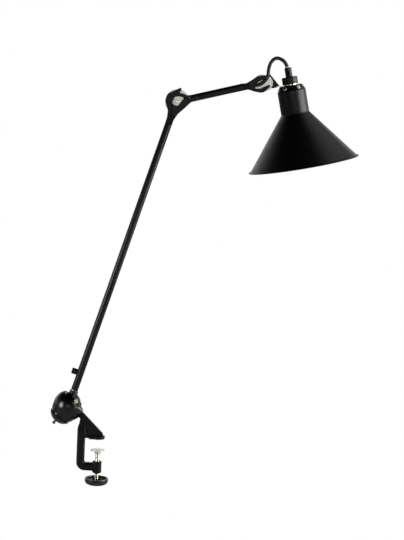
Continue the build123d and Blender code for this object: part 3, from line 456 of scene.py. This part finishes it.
def clamp_pieces():
    softened("clamp_casting", "clamp_frame", "clamp", CAST_BLACK, 0.45, 5)
    thread = threaded(3.0, 0.45, 1.0, -59.0, -22.0)
    foot = lathe(soft([(0, -66.5), (2.5, -66.5), (2.5, -64.1), (3.0, -64.1), (3.0, -58.6), (2.55, -58.2),
                       (0, -58.2)], [0, 0, 0, 0, 0.3, 0, 0]), 48)
    neck = lathe(soft([(0, -22.5), (2.55, -22.3), (2.55, -21.9), (2.0, -21.3), (2.0, -18.6), (2.9, -18.6),
                       (2.9, -17.7), (0, -17.7)], [0, 0, 0.2, 0, 0, 0.1, 0.2, 0]), 48)
    screw = merged(thread, foot, neck)
    piece("clamp_screw_thread", screw, ORIGIN, "screw", NICKEL, ("clamp_screw",), angle=50)
    pad = lathe(soft([(0, -17.55), (2.95, -17.55), (2.95, -19.1), (2.95, -21.0), (4.6, -21.0), (5.2, -19.8),
                      (10.0, -17.5), (10.0, -16.0), (0, -16.0)], [0, 0, 0, 0.1, 0.5, 0.8, 0.3, 0.5, 0]), 96)
    piece("pressure_dish", pad, ORIGIN, "pad", NICKEL_DISC, ("pressure_pad",))
    wall = [(0, -67.1), (11.5, -67.1), (15.2, -65.2), (16.75, -62.2), (16.75, -58.6), (16.2, -57.5),
            (14.6, -57.5), (14.15, -58.4), (14.15, -62.1), (12.2, -64.1), (0, -64.1)]
    knob = lathe(soft(wall, [0, 3, 3, 1.2, 0.8, 0.4, 0.4, 0.6, 1.5, 1.2, 0], 6), 128)
    piece("knob_bowl", knob, ORIGIN, "screw", KNOB_BLACK, ("clamp_knob",))


def socket_pieces():
    crown_radius, crown_centre, base, seat = 19.2, -9.7, -19.5, -11.5
    crown = []
    for step in range(4, 41):
        a = radians(60 * step / 40)
        crown.append((crown_radius * sin(a), crown_centre - crown_radius * cos(a)))
    crown = [p for p in crown if p[1] < base - 0.1]
    profile = [(2.05, crown_centre - crown_radius + 0.15)] + crown
    profile += [(sqrt(crown_radius ** 2 - (base - crown_centre) ** 2), base), (14.4, base), (14.4, seat),
                (5.05, seat), (5.05, -14.65), (2.05, -14.65)]
    radii = [0.3] + [0] * len(crown) + [0.35, 0, 0.3, 0, 0, 0]
    cap = lathe(soft(profile, radii), 144)
    piece("socket_cap_crown", cap, SOCKET, "clamp", DOME_BLACK, ("socket_end_cap",))
    ball_radius, stem_radius = 15.0, 6.0
    ball = [(0, -ball_radius)]
    for step in range(1, 72):
        a = radians(-90 + 180 * step / 72)
        if ball_radius * sin(a) < 13.5:
            ball.append((ball_radius * cos(a), ball_radius * sin(a)))
    last = len(ball) - 1
    ball += [(6.25, 13.75), (stem_radius, 14.2), (stem_radius, 17.5), (5.7, 18.1), (5.3, 18.3), (5.05, 18.3),
             (5.05, 3.4), (0, 3.4)]
    piece("swivel_ball", lathe(ball, 160), LONG, "ball", NICKEL_BALL, ("arm_ball",), TUBE_BLACK,
          set(range(last, last + 8)), angle=40)


# Arms

def tube_shape(radius, start, end):
    outline = [(tube_bore, start), (radius, start), (radius, end), (tube_bore, end)]
    return lathe(soft(outline, [0, 0.25, 0.25, 0], 3), 72)


def arm_pieces():
    short_foot, short_end = 28.2, 91.2
    ring_radius, ring_width = 5.15, 1.6
    long_tube = tube_shape(tube_radius, 18.9, long_length - 34.0)
    piece("long_tube_drawn", long_tube, LONG, "long_arm", TUBE_BLACK, ("long_tube",))
    short_tube = tube_shape(tube_radius, short_foot, short_end)
    piece("short_tube_drawn", moved(short_tube, TURN_X), SHORT, "short_arm", TUBE_BLACK, ("short_tube",))
    ring = tube_shape(ring_radius, short_foot - ring_width, short_foot)
    piece("elbow_ring", moved(ring, TURN_X), SHORT, "elbow", RING_GREY, ("elbow_swivel_ring",))
    ring = tube_shape(ring_radius, short_end, short_end + ring_width)
    piece("ferrule_ring", moved(ring, TURN_X), SHORT, "short_arm", RING_GREY, ("head_ferrule_ring",))
    softened("elbow_pressing", "elbow_lower_yoke", "long_arm", PRESSED_BLACK, 0.35, 6)
    softened("head_pressing", "head_cage", "short_arm", PRESSED_BLACK, 0.3, 5)
    softened("elbow_tongue", "elbow_upper_yoke", "elbow", PRESSED_BLACK, 0.3, 3)
    softened("head_leaf", "head_yoke", "lamp_head", PRESSED_BLACK, 0.25, 3)


# Lamp

def lamp_pieces():
    outer = [(76.9, 0.2), (78.0, 0.2), (78.0, 1.4), (74.9, 2.4), (19.8, 73.0), (19.8, 74.0), (14.3, 74.0),
             (14.3, 73.0), (18.5, 73.0), (73.3, 2.0), (76.2, 0.9)]
    radii = [0.25, 0.45, 0.6, 1.2, 0.6, 0.3, 0, 0, 0.5, 1.0, 0.5]
    skin = soft(outer, radii, 5)
    ahead = skin[1:] + skin[:1]
    inside = [inside_point(here) and inside_point(there) for here, there in zip(skin, ahead)]
    white = {i for i, flag in enumerate(inside) if flag}
    piece("shade_cone", lathe(skin, 256), LAMP, "lamp_head", SHADE_BLACK, ("shade",), SHADE_WHITE, white)
    cover = [(0, 111.4), (15.0, 111.4), (18.7, 104.3), (18.7, 74.0), (19.9, 74.0), (19.9, 105.0),
             (15.8, 112.6), (0, 112.6)]
    piece("cover_shell", lathe(soft(cover, [0, 0.5, 0.8, 0, 0.25, 0.9, 0.9, 0]), 160), LAMP, "lamp_head",
          COVER_BLACK, ("holder_cover",))
    collar = [(4.95, 114.2), (11.0, 114.2), (11.0, 124.2), (3.9, 124.2), (3.9, 121.0), (4.95, 121.0)]
    piece("collar_turned", lathe(soft(collar, [0, 0.6, 1.0, 0.2, 0, 0]), 128), LAMP, "lamp_head", COVER_BLACK,
          ("holder_collar",))
    grip = soft([(2.65, 124.2), (4.9, 124.2), (4.9, grip_top), (3.5, grip_top), (3.5, 133.0), (2.65, 133.0)],
                [0, 0.2, 0.6, 0.2, 0, 0])
    gap = 0.09
    halves = [lathe(grip, 48, a + gap, a + pi - gap) for a in (pi / 2, -pi / 2)]
    foot = lathe([(2.65, 121.0), (3.9, 121.0), (3.9, 124.3), (4.7, 124.3), (4.9, 124.5), (4.9, 126.9),
                  (4.7, 127.1), (2.65, 127.1)], 64)
    piece("grip_split", merged(*halves, foot), LAMP, "lamp_head", COVER_BLACK, ("cord_grip",))
    bush = soft([(2.6, 133.0), (3.5, 133.0), (3.5, 139.2), (2.6, 139.2)], [0, 0, 0.4, 0.3])
    piece("grip_bush", lathe(bush, 64), LAMP, "lamp_head", BUSH_WHITE, ("grip_ring",))


def inside_point(point):
    """True for the shade's white side."""
    radius, height = point
    return height < 73.2 and radius < 76.8 and radius < 73.45 - (height - 2.0) * 0.7718 + 0.3


def bulb_pieces():
    globe = [(0, 9.5)]
    for step in range(1, 40):
        a = radians(-90 + 128 * step / 39)
        globe.append((22.5 * cos(a), 32.0 + 22.5 * sin(a)))
    globe += [(14.3, 48.6), (11.2, 51.6), (9.3, 54.4), (7.9, 57.0), (7.0, 59.0), (6.7, 60.0), (0, 60.0)]
    piece("opal_globe", lathe(globe, 128), LAMP, "lamp_head", OPAL, ("bulb_glass",), angle=60)
    rod = threaded(6.85, 0.5, 2.8, 60.0, 74.5, 96, 16)
    cap = lathe(soft([(0, 74.3), (6.3, 74.3), (5.2, 76.4), (2.6, 77.4), (2.4, 77.6), (0, 77.6)],
                     [0, 0.3, 0.5, 0.2, 0.2, 0]), 64)
    piece("bulb_cap", merged(rod, cap), LAMP, "lamp_head", ALUMINIUM, ("bulb_base",), angle=50)


def dress_cad():
    """Finishes for the CAD nodes that stay as they are."""
    finishes = {
        PAD_RUBBER: ["upper_jaw_pad"],
        DOME_BLACK: ["socket_cover"],
        STEEL: ["socket_cover_screws", "swivel_screw", "forearm_screw", "collar_screw", "elbow_spring_washer",
                "head_spring_washer", "nipple_nut", "knob_nut", "pad_retainer", "holder_nipple",
                "tube_spigot"],
        NICKEL: ["elbow_bolt", "head_bolt", "elbow_nut", "head_nut", "elbow_disc_rivets", "head_yoke_rivets",
                 "head_bracket", "cover_screws"],
        NICKEL_DISC: ["elbow_disc", "head_disc"],
        RING_GREY: ["tension_screw"],
        FRICTION: ["friction_pad", "elbow_friction_washer", "head_friction_washer"],
        TUBE_BLACK: ["cord_inlet"],
        BUSH_BLACK: ["inlet_bush"],
        SHEATH: ["lower_lead", "middle_lead", "holder_lead"],
        PORCELAIN: ["lampholder", "shade_ring"],
        BRASS: ["lampholder_shell", "lampholder_contacts"]}
    for material, names in finishes.items():
        for name in names:
            mesh = nodes[name].data
            mesh.materials.clear()
            mesh.materials.append(material)
            mesh.polygons.foreach_set("material_index", [0] * len(mesh.polygons))


# Floor, light and camera

def studio():
    material = bpy.data.materials.new("pale_floor")
    material.use_nodes = True
    tree = material.node_tree
    tree.nodes.clear()
    where = place_of(tree)
    tone = blend_colour(tree, spread(tree, noise(tree, where, 3), 0, 1), lin("d8d8d6"), lin("dededc"))
    matt = node(tree, "ShaderNodeBsdfDiffuse", {"Color": tone})
    plain = node(tree, "ShaderNodeEmission", {"Color": (1, 1, 1, 1), "Strength": 1.0})
    clear = node(tree, "ShaderNodeBsdfTransparent")
    path = node(tree, "ShaderNodeLightPath")
    side = node(tree, "ShaderNodeNewGeometry")
    seen = node(tree, "ShaderNodeMixShader", {0: path.outputs["Is Camera Ray"], 1: matt.outputs[0],
                                              2: plain.outputs[0]})
    both = node(tree, "ShaderNodeMixShader", {0: side.outputs["Backfacing"], 1: seen.outputs[0],
                                              2: clear.outputs[0]})
    node(tree, "ShaderNodeOutputMaterial", {"Surface": both.outputs[0]})
    mesh = bpy.data.meshes.new("floor")
    reach, level = 6.0, -0.0685
    mesh.from_pydata([(-reach, -reach, level), (reach, -reach, level), (reach, reach, level),
                      (-reach, reach, level)], [], [(0, 1, 2, 3)])
    mesh.materials.append(material)
    floor = bpy.data.objects.new("floor", mesh)
    bpy.context.scene.collection.objects.link(floor)

    world = bpy.data.worlds.new("studio")
    bpy.context.scene.world = world
    world.use_nodes = True
    tree = world.node_tree
    tree.nodes.clear()
    path = node(tree, "ShaderNodeLightPath")
    coords = node(tree, "ShaderNodeTexCoord")
    split = node(tree, "ShaderNodeSeparateXYZ", {0: coords.outputs["Generated"]})
    # Bright behind the lamp and below, dim in front, with a white card straight ahead
    behind = spread(tree, split.outputs["Y"], 0.10, 1.0, -0.3, 0.5)
    low = spread(tree, split.outputs["Z"], 1.0, 0.02, 0.2, 0.6)
    around = node(tree, "ShaderNodeMath", {0: behind, 1: low}, operation="MULTIPLY")
    card = spread(tree, split.outputs["Y"], 1.0, 0.0, -0.985, -0.92)
    glow = node(tree, "ShaderNodeMath", {0: around.outputs[0], 1: card}, operation="ADD")
    sky = node(tree, "ShaderNodeBackground", {"Color": (1, 1, 1, 1), "Strength": glow.outputs[0]})
    white = node(tree, "ShaderNodeBackground", {"Color": (1, 1, 1, 1), "Strength": 1.0})
    mix = node(tree, "ShaderNodeMixShader", {0: path.outputs["Is Camera Ray"], 1: sky.outputs[0],
                                             2: white.outputs[0]})
    node(tree, "ShaderNodeOutputWorld", {"Surface": mix.outputs[0]})

    softbox("box_right", (1.7, -0.35, 0.45), (0.15, 0, 0.40), (1.5, 1.3), 44.0)
    softbox("box_left", (-0.68, -0.44, 0.19), (-0.05, 0, 0.06), (0.34, 0.44), 0.42, grid=44)
    softbox("box_above", (1.03, 0.2, 1.38), (0.25, 0, 0.40), (1.1, 1.1), 2.8)


def softbox(name, place, aim, size, power, grid=180):
    """A soft light aimed at a point, in metres and watts. A grid narrows its beam, in degrees."""
    lamp = bpy.data.lights.new(name, "AREA")
    lamp.shape = "RECTANGLE"
    lamp.size, lamp.size_y = size
    lamp.energy = power
    lamp.spread = radians(grid)
    made = bpy.data.objects.new(name, lamp)
    made.location = place
    made.rotation_euler = (Vector(aim) - Vector(place)).to_track_quat("-Z", "Y").to_euler()
    bpy.context.scene.collection.objects.link(made)


def camera():
    pitch, roll = radians(7.33), radians(2.65)
    ahead = Vector((0, cos(pitch), -sin(pitch)))
    up = Vector((0, sin(pitch), cos(pitch)))
    right = Vector((1, 0, 0))
    turned_right = cos(roll) * right + sin(roll) * up
    turned_up = -sin(roll) * right + cos(roll) * up
    data = bpy.data.cameras.new("camera")
    data.sensor_width = 36.0
    data.lens = 122.3
    data.clip_end = 50
    made = bpy.data.objects.new("camera", data)
    made.matrix_world = Matrix.Translation((0.1374, -2.570, 0.5802)) @ Matrix(
        (turned_right, turned_up, -ahead)).transposed().to_4x4()
    bpy.context.scene.collection.objects.link(made)
    bpy.context.scene.camera = made
    bpy.context.scene.view_settings.view_transform = "Standard"


camera()
elbow_and_head_leads()
clamp_pieces()
socket_pieces()
arm_pieces()
lamp_pieces()
bulb_pieces()
dress_cad()
studio()
